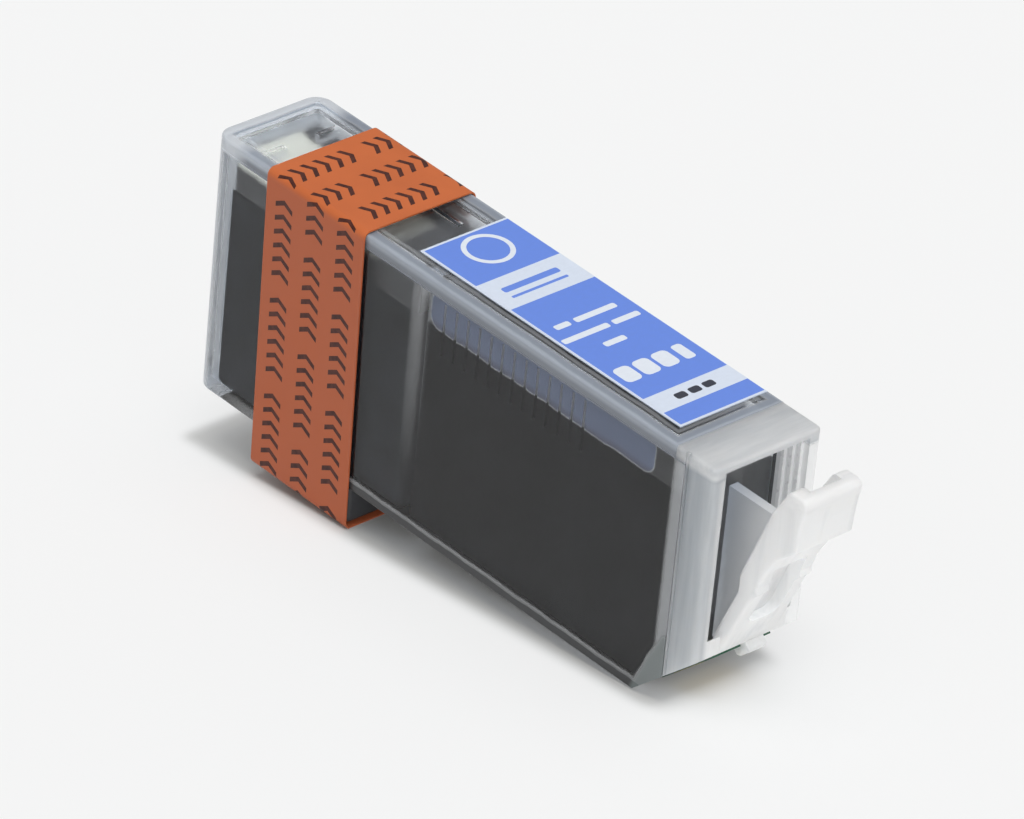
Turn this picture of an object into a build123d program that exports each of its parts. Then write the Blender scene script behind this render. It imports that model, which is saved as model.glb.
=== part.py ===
from build123d import *
from math import atan, cos, degrees, radians, sin, tan
import os

# Inkjet ink cartridge, millimetres. Every function works in the tank's own frame: x runs from the
# far end wall to the latch lever, y is zero on the middle plane, z is zero on the tank's underside.
# place() moves a finished piece into the part's frame, whose origin is the middle of the box's base.

# Tank
body_width = 13.0
tank_length = 65.7
tank_height = 26.5
wall = 1.2
tank_floor = 1.25
corner_radius = 1.8
inner_corner = 0.8
foot_round = 0.4
divider_start = 28.9
divider_thickness = 1.5
passage_width = 6.0
passage_height = 2.4
groove_width = 0.6
groove_depth = 0.5
groove_pitch = 2.6
far_rib_depth = 0.4
far_rib_width = 0.8
far_rib_pitch = 3.2
wall_rib_count = 13
wall_rib_pitch = 1.6
wall_rib_start = 2.2
wall_rib_width = 0.35
wall_rib_depth = 0.45
wall_rib_foot = 20.0

# Sloped nose under the lever, shared by the tank and the end frame
nose_setback = 3.8
nose_rise = 7.1
prism_wall = 2.1
prism_lower_lean = 60.0
prism_step = 0.8

# Lid
lid_thickness = 1.3
lid_edge_round = 0.25
lid_ridge_width = 0.7
lid_ridge_depth = 0.8
lid_ridge_clearance = 0.15
weld_bead_width = 0.5
weld_bead_height = 0.06
lid_bar_width = 0.7
lid_bar_length = 2.8
lid_bar_places = (5.0, 12.5, 20.0)
vent_radius = 0.6
vent_setback = 13.9
vent_y = 2.0
vent_groove_width = 0.7
vent_groove_depth = 0.35
vent_groove_length = 10.4
fill_hole_radius = 1.6
fill_hole_setback = 14.5
plug_flange_radius = 2.2
plug_flange_thickness = 0.5
plug_interference_free = 0.02

# End frame with the latch lever moulded to it
frame_depth = 3.9
frame_wall = 1.4
roof_rise = 1.3
roof_thickness = 0.7
roof_edge_round = 0.3
front_corner_round = 0.5
joint_groove_count = 2
joint_groove_pitch = 0.4
joint_groove_width = 0.15
joint_groove_depth = 0.25
seat_thickness = 1.4
inner_rib_count = 3
inner_rib_pitch = 1.0
inner_rib_start = 1.0
inner_rib_width = 0.4
inner_rib_depth = 0.35
lever_width = 7.0
lever_lean = 20.3
lever_foot_setback = 1.25
lever_foot_rise = 2.2
lever_web = 1.0
lever_rib = 1.6
lever_arm_depth = 2.4
lever_root_depth = 2.2
lever_root_step = 0.5
root_step_low = 5.3
root_step_high = 7.1
lever_nub = 0.35
lever_nub_share = 0.66234
lever_nub_half = 0.7
shoulder_drop = 7.7
shoulder_depth = 2.85
ledge_drop = 5.7
ledge_depth = 4.4
grip_drop = 3.0
grip_depth = 3.65
ear_bend_drop = 3.2
ear_lean = 30.0
tip_above_lid = 0.2
tip_depth = 2.35
tip_round = 0.7
lever_edge_round = 0.3
pocket_above_foot = 1.1
pocket_below_shoulder = 2.2
pocket_round = 1.2
lip_thickness = 1.2

# Light guide
guide_thickness = 1.0
guide_drop = 4.5
guide_lever_gap = 0.4
guide_foot_clearance = 0.2

# Circuit board on the nose
board_length = 8.2
board_width = 7.1
board_thickness = 0.6
board_front_setback = 0.7
board_clearance = 0.1
board_recess = 0.4
contact_count = 4
contact_pitch = 1.6
contact_width = 1.1
contact_length = 4.4
contact_thickness = 0.05
contact_margin = 1.0
led_size = 1.1
led_height = 0.7
led_setback = 2.4
die_length = 1.2
die_width = 2.6
die_height = 0.9
die_setback = 0.9
die_side = 0.3
resistor_length = 1.0
resistor_width = 0.5
resistor_height = 0.35
resistor_side = 1.7
window_margin = 0.3
clip_width = 2.2
clip_side = 0.9
clip_lip = 1.0
clip_lip_thickness = 0.8
clip_gap = 0.05
clip_round = 0.4

# Outlet port under the sponge chamber, with its cap and seal
port_x = 15.9
port_length = 10.0
port_width = 8.6
port_round = 2.5
port_wall = 0.9
port_drop = 1.5
cap_length = 13.4
cap_drop = 3.9
cap_wall = 1.1
cap_floor = 1.2
cap_round = 0.6
gasket_clearance = 0.2
wick_clearance = 0.1
wick_recess = 0.2

# Absorbers and ink
sponge_clearance = 0.2
sponge_top_gap = 0.1
lower_sponge_height = 14.0
sponge_round = 0.6
sponge_top_round = 1.2
ink_clearance = 0.05
ink_drop = 3.9

# Label and tape
label_end_margin = 2.0
label_length = 35.6
label_near_margin = 2.2
label_thickness = 0.1
tape_width = 13.8
tape_start_top = 8.2
tape_shift = 0.8
tape_thickness = 0.15
tape_gap = 0.18

# Worked out from the sizes above
half_width = body_width / 2
inner_half = half_width - wall
divider_end = divider_start + divider_thickness
chamber_end = tank_length - wall
lid_length = chamber_end
lid_top = tank_height + lid_thickness
plate_low = tank_height + weld_bead_height
vent_x = divider_start - vent_setback
vent_groove_end = vent_x + vent_groove_length
fill_hole_x = chamber_end - fill_hole_setback
wall_rib_first = divider_end + wall_rib_start
nose_start = tank_length - nose_setback
frame_end = tank_length + frame_depth
nose_slope = nose_rise / (frame_end - nose_start)
prism_upper_height = nose_rise + prism_step
inner_rib_first = tank_length + inner_rib_start
lever_foot_x = frame_end - lever_foot_setback
lever_foot_z = nose_rise + lever_foot_rise
tip_height = lid_top + tip_above_lid
ledge_height = tip_height - ledge_drop
shoulder_height = tip_height - shoulder_drop
grip_height = tip_height - grip_drop
ear_bend_height = tip_height - ear_bend_drop
pocket_low = lever_foot_z + pocket_above_foot
pocket_high = shoulder_height - pocket_below_shoulder
nub_height = pocket_low + lever_nub_share * (pocket_high - pocket_low)
guide_top = tank_height - guide_drop
board_front = frame_end - board_front_setback
ink_level = tank_height - ink_drop
label_start = lid_length - label_end_margin - label_length
nose_angle = degrees(atan(nose_slope))
lever_slope = tan(radians(lever_lean))
cap_start = port_x - cap_length / 2
tape_bottom = -cap_drop - tape_gap - tape_thickness
tape_round = lid_edge_round + 2 * tape_gap
sponge_start = wall + far_rib_depth + sponge_clearance
sponge_end = divider_start - sponge_clearance
sponge_top = tank_height - lid_ridge_depth - sponge_top_gap


def nose_z(x):
    """Height of the sloped nose at x."""
    return (x - nose_start) * nose_slope


def lever_x(z):
    """The lever's inner face at height z."""
    return lever_foot_x + (z - lever_foot_z) * lever_slope


def ear_x(z):
    """The inner edge of the lever's ears at height z, above their bend."""
    return lever_x(ear_bend_height) + (z - ear_bend_height) * tan(radians(ear_lean))


tip_x = ear_x(tip_height) + tip_depth
grip_x = lever_x(grip_height) + grip_depth
grip_lean = atan((tip_x - grip_x) / grip_drop)
lever_reach = tip_x - tip_round * (tan(grip_lean) + 1 / cos(grip_lean) - 1)


def place(shape):
    """Into the part's frame: the origin is the middle of the overall box's base."""
    return Pos(-lever_reach / 2, 0, -tape_bottom) * shape


def block(x0, x1, y0, y1, z0, z1):
    """A box from corner to corner."""
    return Pos((x0 + x1) / 2, (y0 + y1) / 2, (z0 + z1) / 2) * Box(x1 - x0, y1 - y0, z1 - z0)


def across(points, y0, y1):
    """A side outline of x and z points, drawn out across the body from y0 to y1."""
    wire = Polyline([(x, y0, z) for x, z in points], close=True)
    return extrude(make_face(wire), amount=y1 - y0, dir=(0, 1, 0))


def upright_edges(shape, last=False):
    """The vertical edges at the far end, or at the lever's end."""
    return shape.edges().filter_by(Axis.Z).group_by(Axis.X)[-1 if last else 0]


def on_nose(distance, side=0, height=0):
    """A place on the nose: distance up the slope from its start, side across, height outwards."""
    angle = radians(nose_angle)
    x = nose_start + distance * cos(angle) + height * sin(angle)
    z = distance * sin(angle) - height * cos(angle)
    return Pos(x, side, z) * Rot(0, -nose_angle, 0)


def nose_block(s0, s1, y0, y1, h0, h1):
    """A box on the nose: s along the slope, y across, h outwards from the sloped face."""
    place_at = on_nose((s0 + s1) / 2, (y0 + y1) / 2, (h0 + h1) / 2)
    return place_at * Box(s1 - s0, y1 - y0, h1 - h0)


board_front_s = (board_front - nose_start) / cos(radians(nose_angle))
board_back_s = board_front_s - board_length
nose_length = (frame_end - nose_start) / cos(radians(nose_angle))


def board_recess_cut():
    """The shallow seat that the circuit board lies in, closed by a lip at the front."""
    side = board_width / 2 + board_clearance
    return nose_block(
        board_back_s - board_clearance, board_front_s + board_clearance, -side, side,
        -board_recess, wall,
    )


def wall_rib_boxes(grow=0.0):
    """Thin upright ribs inside both long walls of the ink reservoir."""
    ribs = []
    for index in range(wall_rib_count):
        x = wall_rib_first + index * wall_rib_pitch
        for side in (-1, 1):
            inner = side * (inner_half - wall_rib_depth - grow)
            outer = side * (inner_half + wall / 2)
            y0, y1 = sorted((inner, outer))
            ribs.append(
                block(
                    x - wall_rib_width / 2 - grow, x + wall_rib_width / 2 + grow, y0, y1,
                    wall_rib_foot - grow, tank_height - lid_ridge_depth - lid_ridge_clearance + grow,
                )
            )
    return ribs


def reservoir_outline(clear=0.0, top=None):
    """Side outline of the ink reservoir, whose lower corner leaves the clear prism block."""
    lean = tan(radians(prism_lower_lean))
    upper_x = chamber_end
    middle_z = prism_upper_height / 2
    middle_x = nose_start + (middle_z - prism_wall / cos(radians(nose_angle))) / nose_slope
    low_x = middle_x - (middle_z - tank_floor) / lean
    top_z = tank_height if top is None else top
    return [
        (divider_end + clear, tank_floor + clear),
        (low_x - clear, tank_floor + clear),
        (middle_x - clear, middle_z),
        (upper_x - clear, prism_upper_height),
        (upper_x - clear, top_z),
        (divider_end + clear, top_z),
    ]


def make_tank_body():
    """Clear moulding: walls, floor, divider, prism nose, ribs and the outlet port's collar."""
    outline = [
        (0, 0),
        (nose_start, 0),
        (tank_length, nose_z(tank_length)),
        (tank_length, tank_height),
        (0, tank_height),
    ]
    tank = across(outline, -half_width, half_width)
    tank = fillet(upright_edges(tank), corner_radius)
    tank = fillet(tank.faces().sort_by(Axis.Z)[0].edges().filter_by(Axis.Y, reverse=True), foot_round)

    sponge_room = block(wall, divider_start, -inner_half, inner_half, tank_floor, tank_height)
    sponge_room = fillet(upright_edges(sponge_room), corner_radius - wall)
    sponge_room = fillet(upright_edges(sponge_room, last=True), inner_corner)
    tank -= sponge_room

    tank -= across(reservoir_outline(), -inner_half, inner_half)

    tank -= block(
        divider_start - inner_corner, divider_end + inner_corner, -passage_width / 2, passage_width / 2,
        tank_floor, tank_floor + passage_height,
    )
    for side in (-1, 1):
        y = side * groove_pitch / 2
        tank -= block(
            divider_start, divider_start + groove_depth, y - groove_width / 2, y + groove_width / 2,
            tank_floor, tank_height / 2,
        )

    for index in (-1, 0, 1):
        y = index * far_rib_pitch
        tank += block(
            wall / 2, wall + far_rib_depth, y - far_rib_width / 2, y + far_rib_width / 2,
            tank_floor, tank_height - lid_ridge_depth - lid_ridge_clearance,
        )
    tank += wall_rib_boxes()

    collar = port_shape(port_length, port_width, port_round, -port_drop, tank_floor / 2)
    bore = port_shape(
        port_length - 2 * port_wall, port_width - 2 * port_wall, port_round - port_wall,
        -port_drop, tank_floor,
    )
    tank = tank + collar - bore
    return tank - board_recess_cut()


def port_shape(length, width, radius, z0, z1):
    """An upright block with rounded corners, on the outlet's axis."""
    sketch = Pos(port_x, 0, z0) * RectangleRounded(length, width, radius)
    return extrude(sketch, amount=z1 - z0, dir=(0, 0, 1))


def ridge_ring(x0, x1, far_radius):
    """A ridge under the lid that drops just inside a chamber's walls."""
    gap = lid_ridge_clearance
    low = tank_height - lid_ridge_depth
    side = inner_half - gap
    outer = block(x0 + gap, x1 - gap, -side, side, low, plate_low)
    outer = fillet(outer.edges().filter_by(Axis.Z), far_radius)
    inset = gap + lid_ridge_width
    side = inner_half - inset
    inner = block(x0 + inset, x1 - inset, -side, side, low, plate_low)
    return outer - inner


def weld_bead():
    """Low bead along the middle of the tank's rim, which carries the lid's plate."""
    inset = (wall - weld_bead_width) / 2
    side = half_width - inset
    outer = block(inset, lid_length, -side, side, tank_height, plate_low)
    outer = fillet(upright_edges(outer), corner_radius - inset)
    inset += weld_bead_width
    side = half_width - inset
    inner = block(inset, lid_length + wall, -side, side, tank_height, plate_low)
    inner = fillet(upright_edges(inner), corner_radius - inset)
    return outer - inner


def make_tank_lid():
    """Clear lid: plate on a weld bead, locating ridges, short hold-down bars, vent and fill hole."""
    lid = block(0, lid_length, -half_width, half_width, plate_low, lid_top)
    lid = fillet(upright_edges(lid), corner_radius)
    top_edges = lid.faces().sort_by(Axis.Z)[-1].edges()
    near_edge = top_edges.sort_by(Axis.X)[-1]
    lid = fillet([edge for edge in top_edges if edge != near_edge], lid_edge_round)

    lid += weld_bead()
    lid += ridge_ring(wall, divider_start, corner_radius - wall - lid_ridge_clearance)
    lid += ridge_ring(divider_end, chamber_end, inner_corner)
    bar_side = inner_half - lid_ridge_clearance - lid_ridge_width / 2
    for x in lid_bar_places:
        for side in (-1, 1):
            y0, y1 = sorted((side * (bar_side - lid_bar_length), side * bar_side))
            lid += block(
                x - lid_bar_width / 2, x + lid_bar_width / 2, y0, y1,
                tank_height - lid_ridge_depth, plate_low,
            )

    hole_height = 2 * lid_thickness
    lid -= Pos(vent_x, vent_y, tank_height) * Cylinder(vent_radius, hole_height + lid_thickness)
    lid -= block(
        vent_x, vent_groove_end, vent_y - vent_groove_width / 2, vent_y + vent_groove_width / 2,
        lid_top - vent_groove_depth, lid_top + vent_groove_depth,
    )
    lid -= Pos(fill_hole_x, 0, tank_height) * Cylinder(fill_hole_radius, hole_height + lid_thickness)
    lid -= Pos(fill_hole_x, 0, lid_top) * Cylinder(
        plug_flange_radius + lid_ridge_clearance, 2 * plug_flange_thickness
    )
    return lid


def make_fill_plug():
    """Soft stopper pressed into the fill hole, flush with the lid under the label."""
    stem_low = tank_height - lid_ridge_depth
    stem = Pos(fill_hole_x, 0, (stem_low + lid_top) / 2) * Cylinder(
        fill_hole_radius - plug_interference_free, lid_top - stem_low
    )
    flange = Pos(fill_hole_x, 0, lid_top - plug_flange_thickness / 2) * Cylinder(
        plug_flange_radius, plug_flange_thickness
    )
    plug = stem + flange
    foot = plug.edges().filter_by(GeomType.CIRCLE).sort_by(Axis.Z)[0]
    return chamfer(foot, lid_ridge_clearance * 2)


def lever_outline():
    """Side outline of the lever: lean arm with a nub, latch ledge, grip face and bent ear."""
    root_x = frame_end - roof_edge_round
    step_high = lever_foot_z + root_step_high
    step_low = lever_foot_z + root_step_low
    nub_low = nub_height - lever_nub_half
    nub_high = nub_height + lever_nub_half
    return [
        (root_x - seat_thickness, nose_z(root_x - seat_thickness) + seat_thickness / 2),
        (root_x, nose_z(root_x) + board_recess),
        (frame_end, nose_z(frame_end)),
        (lever_x(pocket_low) + lever_root_depth, pocket_low),
        (lever_x(nub_low) + lever_arm_depth, nub_low),
        (lever_x(nub_height) + lever_arm_depth + lever_nub, nub_height),
        (lever_x(nub_high) + lever_arm_depth, nub_high),
        (lever_x(pocket_high) + lever_arm_depth, pocket_high),
        (lever_x(shoulder_height) + shoulder_depth, shoulder_height),
        (lever_x(ledge_height) + ledge_depth, ledge_height),
        (grip_x, grip_height),
        (tip_x, tip_height),
        (ear_x(tip_height), tip_height),
        (lever_x(ear_bend_height), ear_bend_height),
        (lever_x(step_high), step_high),
        (lever_x(step_high), step_low),
        (lever_foot_x + lever_root_step, lever_foot_z),
    ]


def make_lever():
    """Latch lever: two side ribs joined by a web, with a pocket in the front and a hooked tab."""
    half = lever_width / 2
    lever = across(lever_outline(), -half, half)
    tip_edges = lever.edges().filter_by(Axis.Y).group_by(Axis.Z)[-1]
    lever = fillet(tip_edges, tip_round)
    side_edges = [
        edge
        for face in lever.faces().filter_by(Axis.Y)
        for edge in face.edges()
        if edge.center().Z > pocket_low
    ]
    lever = fillet(side_edges, lever_edge_round)
    inner = half - lever_rib
    pocket = across(
        [
            (lever_x(pocket_low) + lever_web, pocket_low),
            (lever_x(pocket_low) + ledge_depth, pocket_low),
            (lever_x(pocket_high) + ledge_depth, pocket_high),
            (lever_x(pocket_high) + lever_web, pocket_high),
        ],
        -inner, inner,
    )
    low_edges = pocket.edges().filter_by(Axis.Y, reverse=True).group_by(Axis.Z)[0]
    pocket = fillet(low_edges, pocket_round)
    scoop = across(
        [
            (lever_x(ear_bend_height) - lever_web, ear_bend_height),
            (lever_x(ear_bend_height) + grip_depth - lip_thickness, ear_bend_height),
            (tip_x - lip_thickness, tip_height + lever_web),
            (lever_x(ear_bend_height) - lever_web, tip_height + lever_web),
        ],
        -inner, inner,
    )
    return lever - pocket - scoop


def make_end_frame():
    """Frosted end frame: side walls, roof, sloped board seat, board clip and the latch lever."""
    roof_top = tank_height + roof_rise
    roof_low = roof_top - roof_thickness
    outline = [
        (tank_length, nose_z(tank_length)),
        (frame_end, nose_z(frame_end)),
        (frame_end, roof_top),
        (lid_length, roof_top),
        (lid_length, tank_height),
        (tank_length, tank_height),
    ]
    shell = across(outline, -half_width, half_width)
    shell = fillet(upright_edges(shell, last=True), front_corner_round)
    front_top = shell.edges().filter_by(Axis.Y).group_by(Axis.Z)[-1].sort_by(Axis.X)[-1]
    shell = fillet(front_top, roof_edge_round)

    seat_lift = seat_thickness / cos(radians(nose_angle))
    inner_side = half_width - frame_wall
    cavity = across(
        [
            (tank_length, nose_z(tank_length) + seat_lift),
            (frame_end + wall, nose_z(frame_end + wall) + seat_lift),
            (frame_end + wall, roof_low),
            (tank_length, roof_low),
        ],
        -inner_side, inner_side,
    )
    shell -= cavity

    for side in (-1, 1):
        for index in range(inner_rib_count):
            x = inner_rib_first + index * inner_rib_pitch
            y0, y1 = sorted((side * (inner_side - inner_rib_depth), side * (inner_side + frame_wall / 2)))
            shell += block(
                x - inner_rib_width / 2, x + inner_rib_width / 2, y0, y1,
                nose_z(frame_end) + seat_lift, roof_low,
            )

    core_side = half_width - joint_groove_depth
    for index in range(joint_groove_count):
        x = tank_length + index * joint_groove_pitch
        groove = block(x, x + joint_groove_width, -body_width, body_width, -wall, roof_top + wall)
        groove -= block(x, x + joint_groove_width, -core_side, core_side, -wall, roof_top + wall)
        shell -= groove

    frame = shell + make_lever()
    frame -= board_recess_cut()
    frame += board_clip()
    return frame - board_window()


def board_window():
    """Window through the seat for what stands on the board's inner face."""
    half = resistor_side + resistor_length / 2 + window_margin
    back = board_front_s - led_setback - led_size / 2 - window_margin
    front = board_front_s - die_setback + die_length / 2 + window_margin
    depth = board_recess + die_height + window_margin
    return nose_block(back, front, -half, half, -depth, -board_recess / 2)


def board_clip():
    """Small hook at the seat's front edge that holds the board's edge down."""
    y0 = clip_side - clip_width / 2
    y1 = clip_side + clip_width / 2
    outer_face = board_thickness - board_recess
    post = nose_block(
        board_front_s + board_clearance, nose_length, y0, y1, -board_recess,
        outer_face + clip_gap + clip_lip_thickness,
    )
    lip = nose_block(
        board_front_s - clip_lip, nose_length, y0, y1, outer_face + clip_gap,
        outer_face + clip_gap + clip_lip_thickness,
    )
    angle = radians(nose_angle)
    outward = Axis((0, 0, 0), (sin(angle), 0, -cos(angle)))
    hook = post + lip
    return fillet(hook.faces().sort_by(outward)[-1].edges(), clip_round)


def make_light_guide():
    """Clear upright plate that carries the lamp's light from the board up to the lever."""
    half = guide_thickness / 2
    seat_lift = seat_thickness / cos(radians(nose_angle)) + guide_foot_clearance
    foot_z = nose_z(tank_length) + seat_lift
    front_foot_x = tank_length + frame_wall
    front_foot_z = nose_z(front_foot_x) + seat_lift
    return across(
        [
            (tank_length, foot_z),
            (front_foot_x, front_foot_z),
            (front_foot_x, lever_foot_z + (front_foot_x + guide_lever_gap - lever_foot_x) / lever_slope),
            (lever_x(guide_top) - guide_lever_gap, guide_top),
            (tank_length, guide_top),
        ],
        -half, half,
    )


def make_chip_board():
    """Circuit board on the sloped seat."""
    half = board_width / 2
    board = nose_block(
        board_back_s, board_front_s, -half, half, -board_recess, board_thickness - board_recess
    )
    return board


def make_chip_contacts():
    """Row of long gold pads on the board's outer face."""
    face = board_thickness - board_recess
    pads = []
    for index in range(contact_count):
        y = (index - (contact_count - 1) / 2) * contact_pitch
        pads.append(
            nose_block(
                board_back_s + contact_margin, board_back_s + contact_margin + contact_length,
                y - contact_width / 2, y + contact_width / 2, face, face + contact_thickness,
            )
        )
    return Compound(pads)


def make_chip_led():
    """Small lamp on the board's inner face, under the light guide."""
    s = board_front_s - led_setback
    half = led_size / 2
    return nose_block(s - half, s + half, -half, half, -board_recess - led_height, -board_recess)


def make_chip_die():
    """Domed drop of resin over the memory chip."""
    s = board_front_s - die_setback
    drop = Box(die_length, die_width, die_height)
    drop = fillet(drop.edges().filter_by(Axis.Z), die_length / 3)
    top = drop.faces().sort_by(Axis.Z)[-1].edges()
    drop = fillet(top, die_height / 3)
    return on_nose(s, die_side, -board_recess - die_height / 2) * drop


def make_chip_resistor():
    """Two-terminal resistor beside the lamp."""
    s = board_front_s - led_setback
    half = resistor_width / 2
    return nose_block(
        s - half, s + half, resistor_side - resistor_length / 2, resistor_side + resistor_length / 2,
        -board_recess - resistor_height, -board_recess,
    )


def sponge_block(z0, z1):
    """A block of absorber that fills the sponge chamber's plan."""
    side = inner_half - sponge_clearance
    sponge = block(sponge_start, sponge_end, -side, side, z0, z1)
    return fillet(sponge.edges().filter_by(Axis.Z), sponge_round + inner_corner)


def make_lower_sponge():
    return sponge_block(tank_floor, tank_floor + lower_sponge_height)


def make_upper_sponge():
    sponge = sponge_block(tank_floor + lower_sponge_height, sponge_top)
    return fillet(sponge.faces().sort_by(Axis.Z)[-1].edges().sort_by(Axis.X)[0], sponge_top_round)


def make_outlet_wick():
    """Dense felt pad that fills the outlet port, with its top against the lower sponge."""
    inset = 2 * (port_wall + wick_clearance)
    return port_shape(
        port_length - inset, port_width - inset, port_round - port_wall - wick_clearance,
        -port_drop + wick_recess, tank_floor,
    )


def make_outlet_cap():
    """Shallow tray under the tank that shields the outlet port."""
    half_length = cap_length / 2
    cap = block(port_x - half_length, port_x + half_length, -half_width, half_width, -cap_drop, 0)
    cap = fillet(cap.edges().filter_by(Axis.Z), cap_round)
    cap = fillet(cap.faces().sort_by(Axis.Z)[0].edges(), cap_round)
    inner_length = half_length - cap_wall
    inner_width = half_width - cap_wall
    cap -= block(
        port_x - inner_length, port_x + inner_length, -inner_width, inner_width,
        cap_floor - cap_drop, 0,
    )
    return cap


def make_cap_gasket():
    """Soft pad in the cap that the port's rim presses on."""
    half_length = cap_length / 2 - cap_wall - gasket_clearance
    side = half_width - cap_wall - gasket_clearance
    return block(
        port_x - half_length, port_x + half_length, -side, side, cap_floor - cap_drop, -port_drop
    )


def make_ink_fill():
    """Free ink in the reservoir, up to its level surface."""
    side = inner_half - ink_clearance
    ink = across(reservoir_outline(ink_clearance, top=ink_level), -side, side)
    for rib in wall_rib_boxes(ink_clearance):
        ink -= rib
    return ink


def make_label():
    """Printed paper label on the lid, flush with the far long edge."""
    return block(
        label_start, label_start + label_length, -half_width + label_near_margin,
        half_width - lid_edge_round, lid_top, lid_top + label_thickness,
    )


def make_pull_tape():
    """Tape loop round lid, walls and cap, laid on with a slight slant."""
    side = half_width + tape_gap
    low = -cap_drop - tape_gap
    high = lid_top + tape_gap
    start = tape_start_top - tape_shift
    stop = tape_start_top + tape_width + 2 * tape_shift
    inner = block(start, stop, -side, side, low, high)
    inner = fillet(inner.edges().filter_by(Axis.X), tape_round)
    thick = tape_thickness
    outer = block(start, stop, -side - thick, side + thick, low - thick, high + thick)
    outer = fillet(outer.edges().filter_by(Axis.X), tape_round + thick)
    slant = across(
        [
            (tape_start_top + tape_shift, low - thick),
            (tape_start_top + tape_shift + tape_width, low - thick),
            (tape_start_top + tape_width, high + thick),
            (tape_start_top, high + thick),
        ],
        -body_width, body_width,
    )
    return (outer - inner) & slant


pieces = {
    "tank_body": make_tank_body,
    "tank_lid": make_tank_lid,
    "fill_plug": make_fill_plug,
    "end_frame": make_end_frame,
    "light_guide": make_light_guide,
    "chip_board": make_chip_board,
    "chip_contacts": make_chip_contacts,
    "chip_led": make_chip_led,
    "chip_die": make_chip_die,
    "chip_resistor": make_chip_resistor,
    "lower_sponge": make_lower_sponge,
    "upper_sponge": make_upper_sponge,
    "outlet_wick": make_outlet_wick,
    "outlet_cap": make_outlet_cap,
    "cap_gasket": make_cap_gasket,
    "ink_fill": make_ink_fill,
    "label": make_label,
    "pull_tape": make_pull_tape,
}

os.makedirs("parts", exist_ok=True)
for name, make in pieces.items():
    shape = place(make())
    shape.label = name
    export_step(shape, "parts/" + name + ".step")
    print(name, "volume", round(shape.volume, 3))
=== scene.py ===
import math

import bpy
from mathutils import Matrix, Vector


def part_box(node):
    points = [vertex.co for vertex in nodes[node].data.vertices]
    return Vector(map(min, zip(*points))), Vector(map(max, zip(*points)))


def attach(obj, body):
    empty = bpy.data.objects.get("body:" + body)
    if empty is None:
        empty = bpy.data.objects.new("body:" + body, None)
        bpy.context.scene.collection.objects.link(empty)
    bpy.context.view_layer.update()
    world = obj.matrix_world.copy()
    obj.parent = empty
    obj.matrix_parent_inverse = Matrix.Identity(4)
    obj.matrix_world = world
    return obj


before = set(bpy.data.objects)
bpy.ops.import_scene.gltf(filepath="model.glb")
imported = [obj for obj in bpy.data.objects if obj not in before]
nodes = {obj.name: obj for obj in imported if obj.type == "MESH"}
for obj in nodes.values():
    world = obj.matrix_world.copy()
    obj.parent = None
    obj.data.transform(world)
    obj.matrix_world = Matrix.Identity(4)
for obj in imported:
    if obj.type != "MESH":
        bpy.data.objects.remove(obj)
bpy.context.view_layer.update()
bpy.ops.object.select_all(action="DESELECT")
print("frame loaded:", len(nodes), "nodes")

mm = 0.001
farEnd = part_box("tank_lid")[0].x  # x of the tank's far end wall
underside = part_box("outlet_cap")[1].z  # z of the tank's underside, which the cap closes against
labelLow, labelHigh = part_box("label")
tapeLow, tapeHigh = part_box("pull_tape")


def spot(x, y, z):
    # a place in the part: x from the tank's far end, y from its middle, z from its underside, in mm
    return Vector((farEnd + x * mm, y * mm, underside + z * mm))


# Steps that every material is put together from

def startMaterial(name, color, roughness):
    material = bpy.data.materials.new(name)
    material.use_nodes = True
    shader = material.node_tree.nodes["Principled BSDF"]
    shader.inputs["Base Color"].default_value = (*color, 1.0)
    shader.inputs["Roughness"].default_value = roughness
    return material, material.node_tree, shader


def addNode(tree, kind, settings=None, **sockets):
    # a socket is given by its name, or as in0, in1 and so on by its place
    node = tree.nodes.new("ShaderNode" + kind)
    for name, value in (settings or {}).items():
        setattr(node, name, value)
    for name, value in sockets.items():
        byPlace = name.startswith("in") and name[2:].isdigit()
        socket = node.inputs[int(name[2:])] if byPlace else node.inputs[name]
        if isinstance(value, bpy.types.NodeSocket):
            tree.links.new(value, socket)
        else:
            socket.default_value = value
    return node


def calc(tree, operation, a, b=0.0):
    return addNode(tree, "Math", {"operation": operation}, in0=a, in1=b).outputs[0]


def plus(tree, a, b):
    return calc(tree, "ADD", a, b)


def minus(tree, a, b):
    return calc(tree, "SUBTRACT", a, b)


def times(tree, *values):
    result = values[0]
    for value in values[1:]:
        result = calc(tree, "MULTIPLY", result, value)
    return result


def most(tree, *values):
    result = values[0]
    for value in values[1:]:
        result = calc(tree, "MAXIMUM", result, value)
    return result


def absolute(tree, value):
    return calc(tree, "ABSOLUTE", value)


def over(tree, value, edge):
    return calc(tree, "GREATER_THAN", value, edge)


def under(tree, value, edge):
    return calc(tree, "LESS_THAN", value, edge)


def outside(tree, a, b):
    # how far a place lies outside a box, from how far it is past two of its sides
    a, b = most(tree, a, 0.0), most(tree, b, 0.0)
    return calc(tree, "SQRT", plus(tree, times(tree, a, a), times(tree, b, b)))


def ramp(tree, value, low, high, toLow=0.0, toHigh=1.0, smooth=False):
    settings = {"interpolation_type": "SMOOTHSTEP" if smooth else "LINEAR", "clamp": True}
    ends = {"From Min": low, "From Max": high, "To Min": toLow, "To Max": toHigh}
    return addNode(tree, "MapRange", settings, Value=value, **ends).outputs["Result"]


def rising(tree, value, edge, soft):
    return ramp(tree, value, edge - soft, edge + soft)


def falling(tree, value, edge, soft):
    return ramp(tree, value, edge - soft, edge + soft, 1.0, 0.0)


def band(tree, value, low, high, soft):
    # one between low and high, falling softly to zero on both sides
    up = ramp(tree, value, low - soft, low + soft, smooth=True)
    return times(tree, up, ramp(tree, value, high - soft, high + soft, 1.0, 0.0, smooth=True))


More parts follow.
